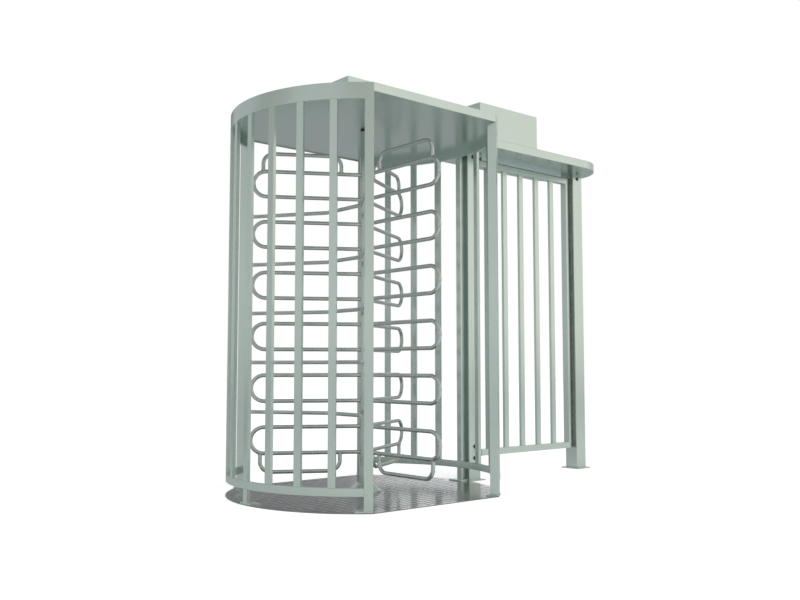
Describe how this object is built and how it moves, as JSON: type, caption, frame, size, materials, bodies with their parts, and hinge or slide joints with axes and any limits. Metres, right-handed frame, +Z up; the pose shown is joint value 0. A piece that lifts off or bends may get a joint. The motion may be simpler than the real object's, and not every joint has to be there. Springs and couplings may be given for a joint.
{
  "type": "visitor counter turnstile",
  "caption": "Full-height turnstile: curved barred guards, a winged tube rotor on a central column, a barrier comb, a roof with drive housing, and a barred service gate under a header.",
  "frame": {"origin": "on the rotor's axis, at the underside of the floor plate (floor level)", "axes": "+Z up along the rotor's axis; +X along the header towards the service gate; Y along the walkway through the rotor"},
  "size_m": [2.853, 1.329, 2.417],
  "materials": {
    "tread_plate": "rolled tread pattern, satin, worn",
    "cage_paint": "satin grey-green powder coat",
    "rotor_tube": "satin round tube",
    "structural_steel": "galvanised",
    "machined_steel": "machined",
    "cast_housing": "painted casting",
    "bronze": "plain bearing bronze",
    "pulley_alloy": "turned",
    "brake_black": "black satin",
    "black_rubber": "matt",
    "board_green": "coated laminate",
    "supply_case": "perforated case"
  },
  "bodies": {
    "cage": {"floor_plate": "tread_plate", "guard_foot_plates": "cage_paint", "left_guard_top_band": "cage_paint", "right_guard_top_band": "cage_paint", "left_guard_bottom_ring": "cage_paint", "right_guard_bottom_ring": "cage_paint", "left_guard_bars": "cage_paint", "right_guard_bars": "cage_paint", "left_guard_end_posts": "cage_paint", "right_guard_end_posts": "cage_paint", "comb_arms": "rotor_tube", "roof_sheet": "cage_paint", "ceiling_panel": "cage_paint", "roof_beams": "structural_steel", "header_tray": "cage_paint", "header_lid": "cage_paint", "gate_posts": "cage_paint", "gate_post_base_plates": "cage_paint", "post_cross_bolts": "machined_steel", "lower_hinge_bracket": "cage_paint", "upper_hinge_plate": "cage_paint", "hinge_pins": "machined_steel", "gate_head_strip": "cage_paint", "gate_stop_bar": "cage_paint", "gate_buffer_strip": "black_rubber", "gate_lock_housing": "brake_black", "lower_bearing_housing": "cage_paint", "lower_bearing": "bronze", "dust_seal": "black_rubber", "mechanism_base_plate": "structural_steel", "upper_bearing_housing": "cast_housing", "upper_bearing": "machined_steel", "mechanism_bolts": "machined_steel", "brake_bracket": "structural_steel", "brake_stator": "brake_black", "damper_body": "cast_housing", "drive_belt": "black_rubber", "count_sensors": "machined_steel", "signal_conduit": "structural_steel", "mechanism_cover": "cage_paint", "cabinet_cover": "cage_paint", "cover_screws": "machined_steel", "cabinet_base_tray": "structural_steel", "controller_board": "board_green", "power_supply": "supply_case"},
    "rotor": {"rotor_column": "rotor_tube", "wing_loops": "rotor_tube", "rotor_handles": "rotor_tube", "lower_pivot_pin": "machined_steel", "upper_shaft": "machined_steel", "brake_hub": "machined_steel", "drive_pulley": "pulley_alloy", "index_disc": "machined_steel"},
    "brake_armature_ring": {"brake_armature": "machined_steel"},
    "damper_rotor": {"damper_pulley": "pulley_alloy"},
    "gate_leaf": {"gate_pivot_tube": "cage_paint", "gate_bushes": "bronze", "gate_frame": "cage_paint", "gate_bars": "cage_paint"},
    "lock_bolt": {"gate_lock_bolt": "machined_steel"}
  },
  "joints": [
    {"name": "rotor_spin", "type": "hinge", "parent": "cage", "child": "rotor", "pos_m": [0, 0, 0], "axis": [0, 0, 1], "continuous": true},
    {"name": "brake_pull_in", "type": "slide", "parent": "rotor", "child": "brake_armature_ring", "axis": [0, 0, -1], "range_m": [0, 0.00045]},
    {"name": "damper_spin", "type": "hinge", "parent": "cage", "child": "damper_rotor", "pos_m": [0.18, 0, 0], "axis": [0, 0, 1], "continuous": true},
    {"name": "gate_swing", "type": "hinge", "parent": "cage", "child": "gate_leaf", "pos_m": [0.945, 0, 0], "axis": [0, 0, 1], "range_deg": [-90, 0]},
    {"name": "lock_bolt_throw", "type": "slide", "parent": "cage", "child": "lock_bolt", "axis": [0, 0, -1], "range_m": [0, 0.016]}
  ],
  "couplings": [
    {"joint": "damper_spin", "follows": "rotor_spin", "ratio": 2.25}
  ]
}
